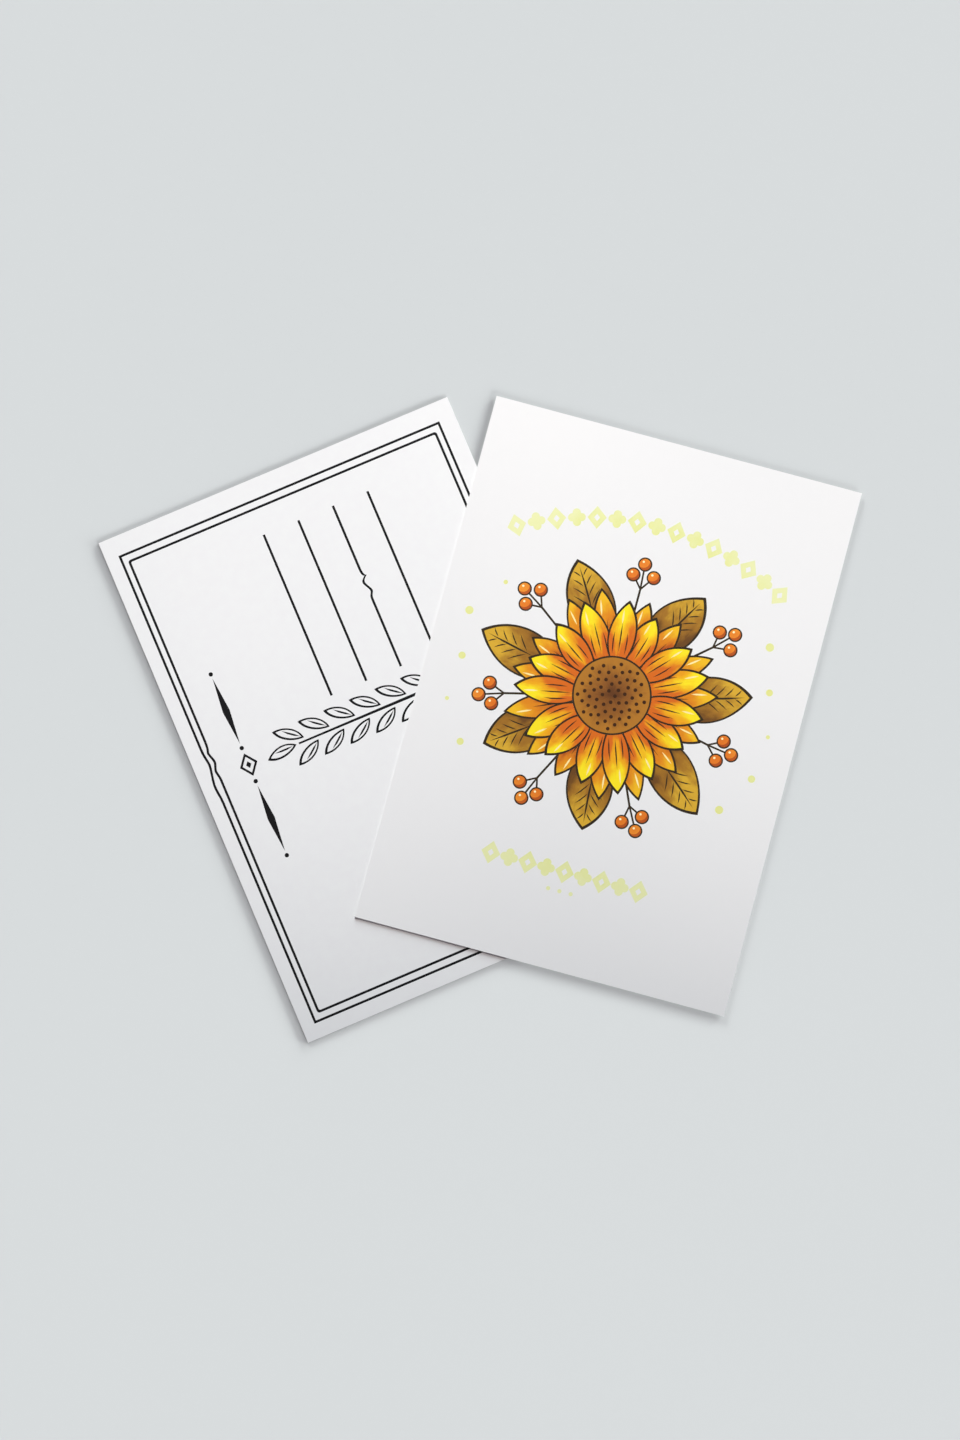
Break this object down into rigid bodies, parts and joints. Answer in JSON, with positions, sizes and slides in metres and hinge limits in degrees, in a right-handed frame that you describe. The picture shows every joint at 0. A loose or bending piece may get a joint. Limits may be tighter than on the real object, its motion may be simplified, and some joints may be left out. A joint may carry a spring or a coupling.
{
  "type": "postcard",
  "caption": "Printed paperboard postcard shown from both sides: a face-down copy with a bordered writing side, and a loose face-up copy with a flower picture lying across its edge.",
  "frame": {"origin": "middle of the pair's outline, on the table plane under the lower card", "axes": "+X to the right and +Y up as the picture shows the cards from above, +Z up from the table"},
  "size_m": [0.2118, 0.1794, 0.0009],
  "materials": {
    "coated_paper": "satin",
    "writing_paper": "matte",
    "bleached_ply": "matte",
    "board_core": "matte",
    "brown_ink": "matte",
    "dark_ink": "matte",
    "yellow_ink": "matte",
    "golden_ink": "matte",
    "ochre_ink": "matte",
    "orange_ink": "matte",
    "deep_orange_ink": "matte",
    "pale_yellow_ink": "matte",
    "black_ink": "matte"
  },
  "bodies": {
    "lower_card": {"lower_front_coat": "coated_paper", "lower_front_ply": "bleached_ply", "lower_core_ply": "board_core", "lower_back_ply": "bleached_ply", "lower_back_coat": "writing_paper", "lower_bloom_disc": "brown_ink", "lower_seeds": "dark_ink", "lower_front_petals": "yellow_ink", "lower_rear_petals": "golden_ink", "lower_leaves": "ochre_ink", "lower_berries": "orange_ink", "lower_berry_shade": "deep_orange_ink", "lower_glints": "pale_yellow_ink", "lower_outlines": "dark_ink", "lower_strokes": "dark_ink", "lower_arch_garland": "pale_yellow_ink", "lower_foot_garland": "pale_yellow_ink", "lower_pollen": "pale_yellow_ink", "lower_outer_border": "black_ink", "lower_inner_border": "black_ink", "lower_address_lines": "black_ink", "lower_twig_stem": "black_ink", "lower_twig_leaves": "black_ink", "lower_heading": "black_ink"},
    "upper_card": {"upper_front_coat": "coated_paper", "upper_front_ply": "bleached_ply", "upper_core_ply": "board_core", "upper_back_ply": "bleached_ply", "upper_back_coat": "writing_paper", "upper_bloom_disc": "brown_ink", "upper_seeds": "dark_ink", "upper_front_petals": "yellow_ink", "upper_rear_petals": "golden_ink", "upper_leaves": "ochre_ink", "upper_berries": "orange_ink", "upper_berry_shade": "deep_orange_ink", "upper_glints": "pale_yellow_ink", "upper_outlines": "dark_ink", "upper_strokes": "dark_ink", "upper_arch_garland": "pale_yellow_ink", "upper_foot_garland": "pale_yellow_ink", "upper_pollen": "pale_yellow_ink", "upper_outer_border": "black_ink", "upper_inner_border": "black_ink", "upper_address_lines": "black_ink", "upper_twig_stem": "black_ink", "upper_twig_leaves": "black_ink", "upper_heading": "black_ink"}
  },
  "joints": [
    {"name": "card_lift", "type": "slide", "parent": "lower_card", "child": "upper_card", "axis": [0, 0, 1], "range_m": [0, 0.05]}
  ]
}
